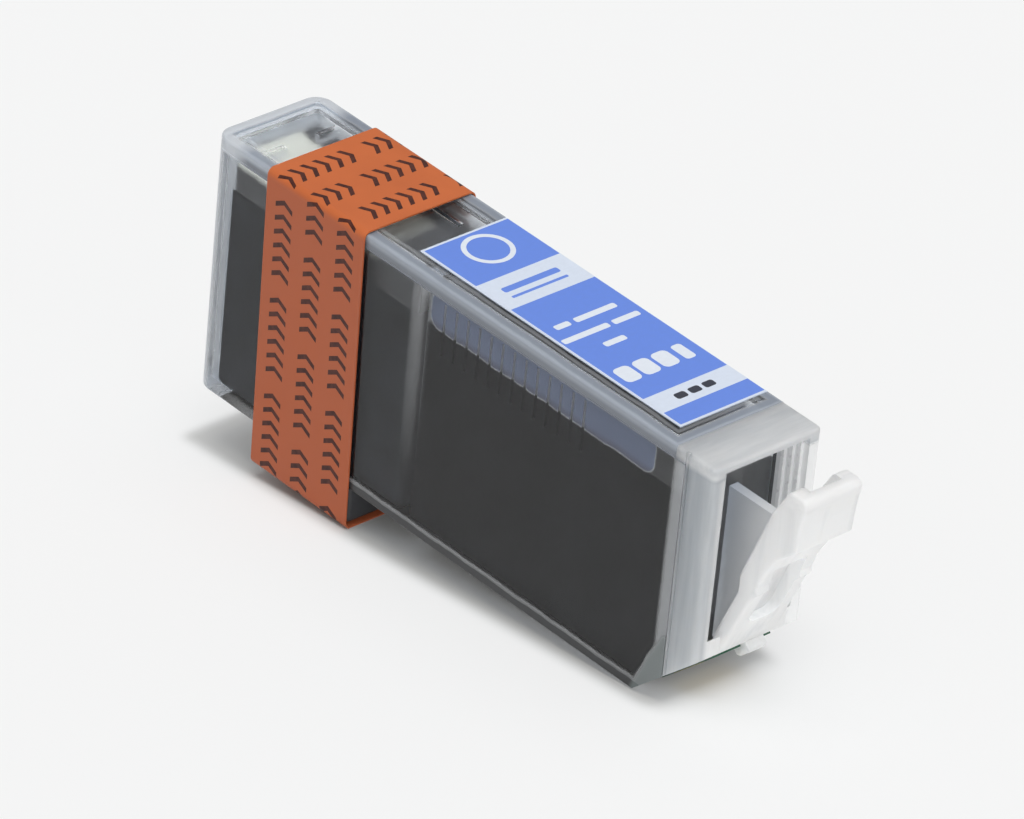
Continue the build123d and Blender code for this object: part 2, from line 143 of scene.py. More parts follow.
def onPart(tree, scale=(1.0, 1.0, 1.0)):
    # object coordinates in metres from the tank's far end, middle and underside, times the scale
    coords = addNode(tree, "TexCoord").outputs["Object"]
    start = [-v * s for v, s in zip(spot(0.0, 0.0, 0.0), scale)]
    return addNode(tree, "Mapping", Location=start, Scale=scale, Vector=coords).outputs["Vector"]


def axesInMm(tree):
    # x from the far end, y from the middle and z from the underside
    return addNode(tree, "SeparateXYZ", Vector=onPart(tree, (1.0 / mm, 1.0 / mm, 1.0 / mm))).outputs[:3]


def noise(tree, vector, scale, detail=3.0):
    sockets = {"Vector": vector, "Scale": scale, "Detail": detail, "Roughness": 0.55}
    return addNode(tree, "TexNoise", **sockets).outputs["Fac"]


def vary(tree, cloud, low=0.0, high=1.0, span=(0.3, 0.7)):
    # noise keeps mostly within the span, which is stretched from low to high
    return ramp(tree, cloud, *span, low, high)


def sway(tree, cloud, amount):
    # noise that swings by up to half the amount to both sides of zero
    return times(tree, minus(tree, cloud, 0.5), amount)


def blendColor(tree, factor, first, second):
    first, second = [(*c, 1.0) if isinstance(c, tuple) else c for c in (first, second)]
    return addNode(tree, "Mix", {"data_type": "RGBA"}, in0=factor, in6=first, in7=second).outputs[2]


def feed(tree, shader, **values):
    # links values to the shader's sockets, which are named with _ for a space
    for name, value in values.items():
        tree.links.new(value, shader.inputs[name.replace("_", " ")])


def bump(tree, shader, height, strength, depth):
    node = addNode(tree, "Bump", Strength=strength, Distance=depth * mm, Height=height)
    feed(tree, shader, Normal=node.outputs["Normal"])


def lampsPass(material, tint):
    # lamps light what stands behind clear plastic
    tree = material.node_tree
    surface = tree.nodes["Material Output"].inputs["Surface"]
    shader = surface.links[0].from_socket
    path = addNode(tree, "LightPath")
    clear = addNode(tree, "BsdfTransparent", Color=(*tint, 1.0))
    mix = addNode(tree, "MixShader", in0=path.outputs["Is Shadow Ray"], in1=shader, in2=clear.outputs[0])
    tree.links.new(mix.outputs[0], surface)


# Clear plastic of tank and lid: glass clear on flat walls, milky where the haze value says so

clearLook = {
    "color": (0.9, 0.92, 0.94),
    "shadowTint": (0.9, 0.92, 0.94),
    "hazeColor": (0.58, 0.61, 0.65),
    "roughness": 0.05,
    "fineRoughness": (0.03, 0.08),
    "fineSpan": (0.35, 0.7),
    "fineScale": 900.0,
    "fineDetail": 4.0,
    "insideRoughness": 0.35,
    "hazeRoughness": 0.35,
    "ior": 1.34,
    "wetIor": 1.01,
    "flowScale": 180.0,
    "flowStretch": (1.0, 1.0, 0.35),
    "flowDetail": 2.0,
    "flowBump": 0.2,
    "flowDepth": 0.2,
}


def clearPlastic(name):
    look = clearLook
    material, tree, shader = startMaterial(name, look["color"], look["roughness"])
    shader.inputs["IOR"].default_value = look["ior"]
    flow = noise(tree, onPart(tree, look["flowStretch"]), look["flowScale"], look["flowDetail"])
    bump(tree, shader, flow, look["flowBump"], look["flowDepth"])
    return material, tree, shader


def addHaze(tree, shader, haze, hazeColor, inside):
    look = clearLook
    fine = noise(tree, onPart(tree), look["fineScale"], look["fineDetail"])
    rough = vary(tree, fine, *look["fineRoughness"], look["fineSpan"])
    rough = most(tree, rough, times(tree, inside, look["insideRoughness"]))
    rough = most(tree, rough, times(tree, haze, look["hazeRoughness"]))
    color = blendColor(tree, haze, look["color"], hazeColor)
    clear = minus(tree, 1.0, haze)
    feed(tree, shader, Roughness=rough, Base_Color=color, Transmission_Weight=clear)


tankLook = {
    "shadowTint": (0.55, 0.57, 0.6),
    "wobbleScale": 300.0,  # borders of the milky places waver by up to a quarter of a millimetre
    "wobble": 0.5,
    "soft": 0.3,
    "farBand": 1.5,
    "farHaze": 0.85,
    "endMiddle": 13.2,  # the end wall is clearer round this height
    "endSquash": 0.45,
    "endClear": (5.0, 5.5),
    "endMilk": 0.6,
    "topBand": 26.35,
    "topHaze": 0.75,
    "topColor": (0.055, 0.075, 0.115),
    "topStart": (3.0, 5.0),
    "divider": (28.9, 30.5),
    "dividerSoft": 0.4,
    "dividerFade": (6.0, 27.0),
    "dividerHaze": 0.2,
    "nearBand": (64.2, 64.7),
    "nearHaze": 0.4,
    "nearSide": 5.3,
    "nearSoft": 0.15,
    "endShare": 0.15,
    "floorBand": 1.3,
    "floorStart": (2.0, 22.0),
    "floorHaze": 1.0,
    "floorEdgeShadeColor": (0.06, 0.062, 0.064),
    "prismFoot": 61.6,
    "prismLean": 0.47,
    "prismSoft": 0.25,
    "prismHigh": 8.0,
    "prismHaze": 0.9,
    "prismColor": (0.16, 0.185, 0.185),
    "outer": 6.3,  # half widths that tell the walls' outer and inner faces
    "inner": 5.9,
    "insideLength": (0.6, 65.2),
    "insideSoft": 0.1,
    "insideFloor": 0.6,
}
filmLook = {
    # the film's blue-grey is partly the ink film's own tint and partly painted shade of the air gap under
    # the label
    "middle": (46.0, 24.45),  # film of ink on the reservoir's walls, above the ink
    "half": (15.3, 1.9),
    "corner": 1.2,
    "soft": 0.12,
    "innerFace": 5.42,
    "ribFace": 5.2,
    "color": (0.06, 0.095, 0.2),
    "ribColor": (0.2, 0.25, 0.37),
    "edgeColor": (0.02, 0.028, 0.09),
    "upperEdge": (25.6, 26.0),
    "lowerEdge": (22.9, 23.4),
    "strength": 0.88,
    "ribStrength": 0.4,
    "wetLength": (1.6, 64.7),
    "wetHeight": (1.1, 22.6),
    "wetSoft": 0.05,
}


def tankHaze(tree, x, z, side, shift):
    # thick places look milky: the far end, the divider's top, the joint and the welded top
    look = tankLook
    xw, zw = plus(tree, x, shift), plus(tree, z, shift)
    soft = look["soft"]
    far = times(tree, falling(tree, xw, look["farBand"], soft), look["farHaze"])
    # the end wall itself is clearer between its edges
    upOrDown = times(tree, absolute(tree, minus(tree, z, look["endMiddle"])), look["endSquash"])
    fromMiddle = most(tree, side, upOrDown)
    far = times(tree, far, ramp(tree, fromMiddle, *look["endClear"], look["endMilk"], 1.0))
    atTop = over(tree, z, look["topBand"])
    top = times(tree, atTop, look["topHaze"])
    divider = band(tree, xw, *look["divider"], look["dividerSoft"])
    divider = times(tree, divider, ramp(tree, z, *look["dividerFade"]), look["dividerHaze"])
    near = times(tree, ramp(tree, x, *look["nearBand"]), look["nearHaze"])
    low, high = look["nearSide"] - look["nearSoft"], look["nearSide"] + look["nearSoft"]
    near = times(tree, near, ramp(tree, side, low, high, look["endShare"], 1.0))
    haze = most(tree, far, top, divider, near)
    # dull grey where the floor's edge and the prism block stand against the ink; on the floor's edge the
    # dark grey is painted shade
    floor = falling(tree, zw, look["floorBand"], soft)
    floor = times(tree, floor, ramp(tree, x, *look["floorStart"], 0.0, look["floorHaze"]))
    alongPrism = minus(tree, xw, times(tree, z, look["prismLean"]))
    prism = rising(tree, alongPrism, look["prismFoot"], look["prismSoft"])
    prism = times(tree, prism, falling(tree, zw, look["prismHigh"], soft), look["prismHaze"])
    dull = times(tree, most(tree, floor, prism), over(tree, side, look["outer"]))
    prismShare = ramp(tree, prism, 0.0, look["prismHaze"])
    floorShadeAndPrismColor = blendColor(tree, prismShare, look["floorEdgeShadeColor"], look["prismColor"])
    sideTop = times(tree, atTop, ramp(tree, x, *look["topStart"]))
    color = blendColor(tree, sideTop, clearLook["hazeColor"], look["topColor"])
    color = blendColor(tree, over(tree, dull, haze), color, floorShadeAndPrismColor)
    return most(tree, haze, dull), color


def inkFilm(tree, x, z, side, shift):
    # rounded at its ends, paler on the ribs and darker along both edges
    look = filmLook
    xw, zw = plus(tree, x, shift), plus(tree, z, shift)
    past = [
        minus(tree, absolute(tree, minus(tree, value, middle)), half - look["corner"])
        for value, middle, half in zip((xw, zw), look["middle"], look["half"])
    ]
    filmed = falling(tree, outside(tree, *past), look["corner"], look["soft"])
    filmed = times(tree, filmed, under(tree, side, look["innerFace"]))
    onRib = under(tree, side, look["ribFace"])
    color = blendColor(tree, onRib, look["color"], look["ribColor"])
    upper = ramp(tree, zw, *look["upperEdge"])
    atEdge = most(tree, upper, ramp(tree, zw, *look["lowerEdge"], 1.0, 0.0))
    color = blendColor(tree, atEdge, color, look["edgeColor"])
    haze = times(tree, filmed, ramp(tree, onRib, 0.0, 1.0, look["strength"], look["ribStrength"]))
    # ink and wet foam lie against the inner walls, which then turn no light back
    soft = look["wetSoft"]
    wet = times(tree, band(tree, x, *look["wetLength"], soft), band(tree, z, *look["wetHeight"], soft))
    wet = times(tree, wet, under(tree, side, look["innerFace"]))
    wet = most(tree, wet, times(tree, onRib, filmed))
    return filmed, haze, color, wet


def makeTankPlastic():
    material, tree, shader = clearPlastic("clearTank")
    look = tankLook
    x, y, z = axesInMm(tree)
    side = absolute(tree, y)
    shift = sway(tree, noise(tree, onPart(tree), look["wobbleScale"]), look["wobble"])
    haze, hazeColor = tankHaze(tree, x, z, side, shift)
    filmed, filmHaze, filmAndShadeColor, wet = inkFilm(tree, x, z, side, shift)
    haze = most(tree, haze, filmHaze)
    hazeColor = blendColor(tree, filmed, hazeColor, filmAndShadeColor)
    inside = times(tree, under(tree, side, look["inner"]), over(tree, z, look["insideFloor"]))
    inside = times(tree, inside, band(tree, x, *look["insideLength"], look["insideSoft"]))
    addHaze(tree, shader, haze, hazeColor, inside)
    feed(tree, shader, IOR=ramp(tree, wet, 0.0, 1.0, clearLook["ior"], clearLook["wetIor"]))
    lampsPass(material, look["shadowTint"])
    return material


lidLook = {
    "length": 64.5,
    "half": 6.5,
    "wobbleScale": 240.0,
    "wobble": 0.5,
    "rim": 1.2,
    "rimSoft": 0.2,
    "rimHaze": 0.75,
    "ridge": (1.5, 1.95),
    "ridgeSoft": 0.15,
    "ridgeHaze": 0.22,
    "insideTop": 26.6,
    "edgeBand": (0.25, 0.5),
    "edgeColor": (0.3, 0.35, 0.43),
    "rimColor": (0.125, 0.165, 0.24),
    "weld": (27.0, 27.4),
    "weldColor": (0.055, 0.075, 0.115),
    "whiteEnd": (3.0, 5.0),
}


def makeLidPlastic():
    material, tree, shader = clearPlastic("clearLid")
    look = lidLook
    x, y, z = axesInMm(tree)
    shift = sway(tree, noise(tree, onPart(tree), look["wobbleScale"]), look["wobble"])
    fromSide = minus(tree, look["half"], absolute(tree, y))
    fromEnd = minus(tree, look["length"], x)
    fromEdge = calc(tree, "MINIMUM", calc(tree, "MINIMUM", fromSide, x), fromEnd)
    fromEdge = plus(tree, fromEdge, shift)
    rim = times(tree, falling(tree, fromEdge, look["rim"], look["rimSoft"]), look["rimHaze"])
    ridge = times(tree, band(tree, fromEdge, *look["ridge"], look["ridgeSoft"]), look["ridgeHaze"])
    # whiter round the far end, blue-grey along the sides and darkest at the weld
    color = blendColor(tree, ramp(tree, fromEdge, *look["edgeBand"]), look["edgeColor"], look["rimColor"])
    color = blendColor(tree, ramp(tree, z, *look["weld"], 1.0, 0.0), color, look["weldColor"])
    color = blendColor(tree, ramp(tree, x, *look["whiteEnd"]), clearLook["hazeColor"], color)
    addHaze(tree, shader, most(tree, rim, ridge), color, under(tree, z, look["insideTop"]))
    lampsPass(material, clearLook["shadowTint"])
    return material


# Frosted end frame: duller and more see-through in the side walls, whiter towards roof and lever; the
# duller walls are painted shade and the whiter places painted light

frostLook = {
    "color": (0.83, 0.85, 0.86),
    "dull": (0.35, 0.385, 0.42),
    "bright": (0.985, 0.988, 0.988),
    "shadowTint": (0.82, 0.83, 0.84),
    "roughness": 0.42,
    "grainRoughness": (0.3, 0.52),
    "ior": 1.45,
    "clear": 0.4,
    "leverClear": 0.1,
    "depth": (5.0, 5.4, 5.8),  # mm that red, green and blue light go into the plastic
    "scatter": 0.6,
    "farScatter": 0.05,
    "farGloss": 0.5,
    "grainScale": 1400.0,
    "streakScale": 420.0,
    "streakDetail": 4.0,
    "wallStretch": (1.0, 1.0, 0.08),
    "roofStretch": (1.0, 0.12, 1.0),
    "streaks": 1.1,
    "roof": (26.2, 26.8),
    "roofWhite": 0.5,
    "leverFoot": 9.0,
    "leverLean": 0.36,
    "leverFront": (67.6, 68.6),
    "leverHalf": 3.7,
    "innerFace": (5.0, 6.2),
    "farWall": (4.6, 4.9),
    "opening": (66.0, 69.2),
    "openingPaintedLight": 0.3,
    "foot": (4.0, 25.0),
    "footWhite": 0.25,
    "grainHeight": 0.3,
    "bump": 0.3,
    "bumpDepth": 0.1,
}


def makeFrostPlastic():
    look = frostLook
    material, tree, shader = startMaterial("frostedFrame", look["color"], look["roughness"])
    shader.inputs["IOR"].default_value = look["ior"]
    shader.inputs["Subsurface Radius"].default_value = look["depth"]
    shader.inputs["Subsurface Scale"].default_value = mm
    x, y, z = axesInMm(tree)
    wallStreaks, roofStreaks = [
        noise(tree, onPart(tree, look[stretch]), look["streakScale"], look["streakDetail"])
        for stretch in ("wallStretch", "roofStretch")
    ]
    grain = noise(tree, onPart(tree), look["grainScale"])
    onRoof = ramp(tree, z, *look["roof"])
    onWalls = minus(tree, 1.0, onRoof)
    streaks = plus(tree, times(tree, wallStreaks, onWalls), times(tree, roofStreaks, onRoof))
    # painted light: the lever, inner faces, far wall, roof, and the walls towards the opening and at
    # their foot are coloured whiter, and the other wall faces keep the dull painted shade
    leverLine = times(tree, minus(tree, z, look["leverFoot"]), look["leverLean"])
    lever = ramp(tree, minus(tree, x, leverLine), *look["leverFront"])
    lever = times(tree, lever, under(tree, absolute(tree, y), look["leverHalf"]))
    farWall = times(tree, ramp(tree, y, *look["farWall"]), onWalls)
    inner = times(tree, ramp(tree, absolute(tree, y), *look["innerFace"], 1.0, 0.0), onWalls)
    paintedLightOpeningAndFoot = times(tree, ramp(tree, x, *look["opening"]), look["openingPaintedLight"])
    paintedLightOpeningAndFoot = plus(tree, paintedLightOpeningAndFoot, ramp(tree, z, *look["foot"], look["footWhite"], 0.0))
    paintedLightOpeningAndFoot = times(tree, paintedLightOpeningAndFoot, onWalls)
    white = most(tree, lever, inner, farWall, paintedLightOpeningAndFoot, times(tree, onRoof, look["roofWhite"]))
    tone = ramp(tree, plus(tree, white, sway(tree, streaks, look["streaks"])), 0.0, 1.0)
    color = blendColor(tree, tone, look["dull"], look["bright"])
    clear = ramp(tree, white, 0.0, 1.0, look["clear"], look["leverClear"])
    # the far wall passes less light on and looks whitest
    scatter = ramp(tree, farWall, 0.0, 1.0, look["scatter"], look["farScatter"])
    gloss = ramp(tree, farWall, 0.0, 1.0, 1.0, look["farGloss"])
    rough = times(tree, vary(tree, grain, *look["grainRoughness"]), gloss)
    feed(tree, shader, Base_Color=color, Roughness=rough)
    feed(tree, shader, Transmission_Weight=clear, Subsurface_Weight=scatter)
    height = plus(tree, streaks, times(tree, grain, look["grainHeight"]))
    bump(tree, shader, height, look["bump"], look["bumpDepth"])
    lampsPass(material, look["shadowTint"])
    return material


guideLook = {
    "color": (0.55, 0.59, 0.65),
    "low": (0.72, 0.76, 0.82),
    "high": (0.97, 0.98, 0.99),
    "shadowTint": (0.9, 0.92, 0.94),
    "roughness": 0.35,
    "cloudRoughness": (0.3, 0.42),
    "clear": 0.55,
    "ior": 1.42,
    "lean": 0.25,
    "rise": (60.0, 64.5),
    "cloudScale": 260.0,
    "cloud": 0.3,
    "bump": 0.1,
    "bumpDepth": 0.05,
}


def makeGuidePlastic():
    # bluish grey low down and whiter towards the lever
    look = guideLook
    material, tree, shader = startMaterial("clearGuide", look["color"], look["roughness"])
    shader.inputs["Transmission Weight"].default_value = look["clear"]
    shader.inputs["IOR"].default_value = look["ior"]
    x, z = axesInMm(tree)[::2]
    rise = ramp(tree, minus(tree, x, times(tree, z, look["lean"])), *look["rise"])
    cloud = noise(tree, onPart(tree), look["cloudScale"])
    tone = plus(tree, rise, sway(tree, cloud, look["cloud"]))
    color = blendColor(tree, tone, look["low"], look["high"])
    feed(tree, shader, Base_Color=color, Roughness=vary(tree, cloud, *look["cloudRoughness"]))
    bump(tree, shader, cloud, look["bump"], look["bumpDepth"])
    lampsPass(material, look["shadowTint"])
    return material


# Ink and foam

inkLook = {
    "color": (0.012, 0.012, 0.014),
    "tones": ((0.010, 0.010, 0.011), (0.017, 0.017, 0.019)),
    "roughness": 0.4,
    "shine": 0.05,
    "cloudScale": 160.0,
    "cloudSpan": (0.35, 0.7),
    "bump": 0.1,
    "bumpDepth": 0.1,
}


def makeInk():
    look = inkLook
    material, tree, shader = startMaterial("darkInk", look["color"], look["roughness"])
    shader.inputs["Specular IOR Level"].default_value = look["shine"]
    cloud = noise(tree, onPart(tree), look["cloudScale"])
    tone = vary(tree, cloud, span=look["cloudSpan"])
    feed(tree, shader, Base_Color=blendColor(tree, tone, *look["tones"]))
    bump(tree, shader, cloud, look["bump"], look["bumpDepth"])
    return material


foamLook = {
    "color": (0.03, 0.031, 0.034),
    "soaked": ((0.018, 0.019, 0.021), (0.034, 0.036, 0.042)),
    "dry": ((0.47, 0.46, 0.4), (0.6, 0.6, 0.53)),
    "roughness": 0.85,
    "shine": 0.15,
    "cellScale": 2200.0,
    "cellWall": 0.12,
    "cloudScale": 260.0,
    "cloudDetail": 4.0,
    "creamSoft": 0.25,  # the cream top's soft border, and how far it wanders in height and width
    "creamSway": 1.2,
    "sideSway": 3.0,
    "creamSide": (1.6, 2.2),
    "creamLength": (20.0, 23.0),
    "bump": 0.5,
    "bumpDepth": 0.15,
}


def makeFoam(name, creamFrom):
    # open foam: dark where it is soaked, cream where it stays dry near the top
    look = foamLook
    material, tree, shader = startMaterial(name, look["color"], look["roughness"])
    shader.inputs["Specular IOR Level"].default_value = look["shine"]
    x, y, z = axesInMm(tree)
    toEdge = {"feature": "DISTANCE_TO_EDGE"}
    cells = addNode(tree, "TexVoronoi", toEdge, Vector=onPart(tree), Scale=look["cellScale"])
    cells = cells.outputs["Distance"]
    cloud = noise(tree, onPart(tree), look["cloudScale"], look["cloudDetail"])
    soaked = blendColor(tree, vary(tree, cloud), *look["soaked"])
    cream = blendColor(tree, ramp(tree, cells, 0.0, look["cellWall"]), *look["dry"])
    dry = rising(tree, plus(tree, z, sway(tree, cloud, look["creamSway"])), creamFrom, look["creamSoft"])
    across = plus(tree, y, sway(tree, cloud, look["sideSway"]))
    dry = times(tree, dry, ramp(tree, across, *look["creamSide"], 1.0, 0.0))
    dry = times(tree, dry, ramp(tree, x, *look["creamLength"], 1.0, 0.0))
    feed(tree, shader, Base_Color=blendColor(tree, dry, soaked, cream))
    bump(tree, shader, cells, look["bump"], look["bumpDepth"])
    return material


# Paper and tape

paperLook = {
    "roughness": 0.55,
    "fibreRoughness": (0.48, 0.62),
    "shine": 0.25,
    "fibreScale": 2400.0,
    "fibreDetail": 4.0,
    "fibreStretch": (1.0, 0.6, 1.0),
    "darker": 0.955,
    "bump": 0.12,
    "bumpDepth": 0.02,
}


def makePaper(name, color):
    look = paperLook
    material, tree, shader = startMaterial(name, color, look["roughness"])
    shader.inputs["Specular IOR Level"].default_value = look["shine"]
    fibre = noise(tree, onPart(tree, look["fibreStretch"]), look["fibreScale"], look["fibreDetail"])
    darker = tuple(v * look["darker"] for v in color)
    tone = blendColor(tree, vary(tree, fibre), darker, color)
    feed(tree, shader, Base_Color=tone, Roughness=vary(tree, fibre, *look["fibreRoughness"]))
    bump(tree, shader, fibre, look["bump"], look["bumpDepth"])
    return material


tapeLook = {
    "light": (0.64, 0.165, 0.052),
    "shade": (0.56, 0.14, 0.044),
    # painted shade: the tape's sides and underside are coloured darker than its top
    "side": (0.46, 0.118, 0.052),
    "sideShadeShare": 0.8,
    "sideShadeFrom": (0.2, 1.0),
    "print": ((0.055, 0.017, 0.013), (0.1, 0.03, 0.02)),
    "printSpan": (0.35, 0.65),
    "roughness": 0.42,
    "cloudRoughness": (0.36, 0.5),
    "shine": 0.2,
    "lean": 0.8,  # how far the band leans from top to bottom, and its middle line at the top
    "middle": 15.1,
    "rowPitch": 4.35,
    "rowHalf": 1.2,
    "rowsEachSide": 1.5,
    "rowOffset": 2.6,
    "markPitch": 1.5,
    "markWidth": 0.36,
    "markPoint": 0.42,
    "runLength": 7.0,
    "runFilled": 5.4,
    "cloudScale": 120.0,
    "fineScale": 1800.0,
    "waveScale": 240.0,
    "waveStretch": (1.0, 0.4, 0.4),
    "waveDetail": 2.0,
    "bump": 0.3,
    "bumpDepth": 0.12,
}


def arrowheads(tree, down):
    # three rows of plain arrowheads that run round the loop
    look = tapeLook
    x, y = axesInMm(tree)[:2]
    loop = plus(tree, y, times(tree, calc(tree, "SIGN", y), down))
    lean = look["lean"] * mm / (tapeHigh.z - tapeLow.z)
    across = minus(tree, minus(tree, x, times(tree, down, lean)), look["middle"])
    row = calc(tree, "ROUND", calc(tree, "DIVIDE", across, look["rowPitch"]))
    within = minus(tree, across, times(tree, row, look["rowPitch"]))
    within = absolute(tree, calc(tree, "DIVIDE", within, look["rowHalf"]))
    along = calc(tree, "DIVIDE", loop, look["markPitch"])
    along = plus(tree, along, times(tree, row, look["rowOffset"]))
    bent = plus(tree, along, times(tree, within, look["markPoint"]))
    stroke = under(tree, calc(tree, "FRACT", bent), look["markWidth"])
    run = calc(tree, "FLOORED_MODULO", calc(tree, "FLOOR", bent), look["runLength"])
    filled = under(tree, run, look["runFilled"])
    onRows = under(tree, absolute(tree, row), look["rowsEachSide"])
    return times(tree, stroke, filled, under(tree, within, 1.0), onRows)


def makeTape():
    look = tapeLook
    material, tree, shader = startMaterial("orangeTape", look["light"], look["roughness"])
    shader.inputs["Specular IOR Level"].default_value = look["shine"]
    down = minus(tree, (tapeHigh.z - underside) / mm, axesInMm(tree)[2])
    marks = arrowheads(tree, down)
    cloud = noise(tree, onPart(tree), look["cloudScale"])
    fine = noise(tree, onPart(tree), look["fineScale"])
    film = blendColor(tree, vary(tree, cloud), look["shade"], look["light"])
    # painted shade on the tape below its top face
    paintedSideShade = times(tree, ramp(tree, down, *look["sideShadeFrom"]), look["sideShadeShare"])
    film = blendColor(tree, paintedSideShade, film, look["side"])
    ink = blendColor(tree, vary(tree, fine, span=look["printSpan"]), *look["print"])
    rough = vary(tree, cloud, *look["cloudRoughness"])
    feed(tree, shader, Base_Color=blendColor(tree, marks, film, ink), Roughness=rough)
    wave = noise(tree, onPart(tree, look["waveStretch"]), look["waveScale"], look["waveDetail"])
    bump(tree, shader, wave, look["bump"], look["bumpDepth"])
    return material


# Board, its parts and the other small pieces

boardLook = {
    "color": (0.02, 0.09, 0.05),
    "tones": ((0.014, 0.07, 0.04), (0.03, 0.12, 0.07)),
    "roughness": 0.35,
    "weaveScale": 900.0,
    "bump": 0.1,
    "bumpDepth": 0.02,
}


def makeBoard():
    # green mask over glass cloth, with the weave just showing
    look = boardLook
    material, tree, shader = startMaterial("circuitBoard", look["color"], look["roughness"])
    threads = []
    for direction in ("X", "Y"):
        settings = {"wave_type": "BANDS", "bands_direction": direction}
        wave = addNode(tree, "TexWave", settings, Vector=onPart(tree), Scale=look["weaveScale"])
        threads.append(wave.outputs["Fac"])
    cloth = times(tree, *threads)
    feed(tree, shader, Base_Color=blendColor(tree, cloth, *look["tones"]))
    bump(tree, shader, cloth, look["bump"], look["bumpDepth"])
    return material


smallLook = {
    "detail": 4.0,
    "glossSpread": (0.8, 1.2),
    "bump": 0.15,
    "bumpDepth": 0.05,
}
smallParts = {
    "fill_plug": {"name": "plugRubber", "color": (0.35, 0.35, 0.34), "roughness": 0.6},
    "chip_contacts": {
        "name": "goldPads", "color": (0.83, 0.6, 0.22), "roughness": 0.28,
        "metallic": 1.0, "grain": 2600.0, "spread": 0.08,
    },
    "chip_led": {"name": "ledLens", "color": (0.85, 0.8, 0.62), "roughness": 0.2},
    "chip_die": {"name": "blackResin", "color": (0.03, 0.03, 0.032), "roughness": 0.3},
    "chip_resistor": {"name": "resistorBody", "color": (0.04, 0.04, 0.045), "roughness": 0.4},
    "outlet_wick": {
        "name": "wickFelt", "color": (0.05, 0.05, 0.06), "roughness": 0.9,
        "grain": 3000.0, "spread": 0.4,
    },
    "outlet_cap": {"name": "capPlastic", "color": (0.048, 0.049, 0.053), "roughness": 0.4},
    "cap_gasket": {"name": "gasketRubber", "color": (0.04, 0.04, 0.04), "roughness": 0.7},
}


def makeSmallPart(name, color, roughness, metallic=0.0, grain=1600.0, spread=0.15):
    # moulded, plated and pressed small parts: a slight grain in tone, gloss and surface
    look = smallLook
    material, tree, shader = startMaterial(name, color, roughness)
    shader.inputs["Metallic"].default_value = metallic
    fine = noise(tree, onPart(tree), grain, look["detail"])
    darker = tuple(v * (1.0 - spread) for v in color)
    tone = blendColor(tree, vary(tree, fine), darker, color)
    smooth, dull = [roughness * share for share in look["glossSpread"]]
    feed(tree, shader, Base_Color=tone, Roughness=vary(tree, fine, smooth, dull))
    bump(tree, shader, fine, look["bump"], look["bumpDepth"])
    return material


paperColors = {
    "sheet": (0.72, 0.79, 0.91),
    "blue": (0.155, 0.28, 0.80),
    "white": (0.8, 0.85, 0.93),
    "dark": (0.05, 0.055, 0.075),
}
dryFrom = {"lower": 60.0, "upper": 25.0}  # the lower absorber is soaked right through

finishes = {
    "tank_body": makeTankPlastic(),
    "tank_lid": makeLidPlastic(),
    "end_frame": makeFrostPlastic(),
    "light_guide": makeGuidePlastic(),
    "chip_board": makeBoard(),
    "lower_sponge": makeFoam("soakedFoam", dryFrom["lower"]),
    "upper_sponge": makeFoam("spongeFoam", dryFrom["upper"]),
    "ink_fill": makeInk(),
    "label": makePaper("labelPaper", paperColors["sheet"]),
    "pull_tape": makeTape(),
}
for name, look in smallParts.items():
    finishes[name] = makeSmallPart(**look)
for name, material in finishes.items():
    if not nodes[name].material_slots:
        nodes[name].data.materials.append(material)
    for slot in nodes[name].material_slots:
        slot.material = material
print("finishes on", len(finishes), "nodes")


# Label print: thin raised fields of colour

labelPrint = {
    "lift": 0.012,
    "border": 0.28,
    "farBorder": 0.06,
    "blues": ((26.9, 34.4), (39.25, 57.2), (59.95, 62.3)),
    # x and y of its middle, size across and along the label, and paint of each bar
    "bars": (
        (36.4, 0.9, 6.8, 0.8, "blue"),
        (37.7, 0.9, 6.8, 0.35, "blue"),
        (43.9, -1.9, 1.8, 0.75, "white"),
        (43.9, 2.1, 5.0, 0.75, "white"),
        (46.1, -1.0, 5.6, 0.75, "white"),
        (46.1, 3.9, 3.2, 0.75, "white"),
        (48.5, 0.4, 2.6, 0.75, "white"),
        (53.3, -2.4, 1.9, 2.5, "white"),
        (53.3, -0.1, 1.9, 2.5, "white"),
        (53.3, 2.2, 1.9, 2.5, "white"),
        (53.3, 4.4, 1.2, 2.5, "white"),
        (58.6, -0.7, 1.3, 0.9, "dark"),
        (58.6, 1.0, 1.3, 0.9, "dark"),
        (58.6, 2.7, 1.3, 0.9, "dark"),
    ),
    "barRound": 0.3,
    "roundSteps": 5,
    "uprightAbove": 0.9,  # an edge counts as upright when its direction's z is over this
    "ringCenter": (30.15, 1.2),
    "ringOuter": 2.55,
    "ringStroke": 0.52,
    "ringPoints": 96,
    "ringBase": 1.5,  # the ring's lower face and its thickness, in lifts
    "ringThick": 0.5,
}
labelTop = (labelHigh.z - underside) / mm
paints = {
    "blue": makePaper("labelBlue", paperColors["blue"]),
    "white": makePaper("labelWhite", paperColors["white"]),
    "dark": makePaper("labelDark", paperColors["dark"]),
}


def finishPiece(piece, name, paint):
    bpy.context.view_layer.objects.active = piece
    piece.select_set(True)
    bpy.ops.object.transform_apply(location=True, rotation=True, scale=True)
    piece.select_set(False)
    piece.name = name
    piece.data.materials.clear()
    piece.data.materials.append(paints[paint])
    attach(piece, "root")


def roundUprights(piece, radius):
    # the plate's four upright edges are picked by their direction and bevelled
    bpy.ops.object.mode_set(mode="EDIT")
    bpy.ops.mesh.select_mode(type="EDGE")
    bpy.ops.mesh.select_all(action="DESELECT")
    bpy.ops.object.mode_set(mode="OBJECT")
    corners = piece.data.vertices
    for edge in piece.data.edges:
        start, end = [corners[index].co for index in edge.vertices]
        edge.select = abs((start - end).normalized().z) > labelPrint["uprightAbove"]
    bpy.ops.object.mode_set(mode="EDIT")
    bpy.ops.mesh.bevel(offset=radius * mm, segments=labelPrint["roundSteps"], profile=0.5, affect="EDGES")
    bpy.ops.mesh.select_mode(type="VERT")
    bpy.ops.object.mode_set(mode="OBJECT")


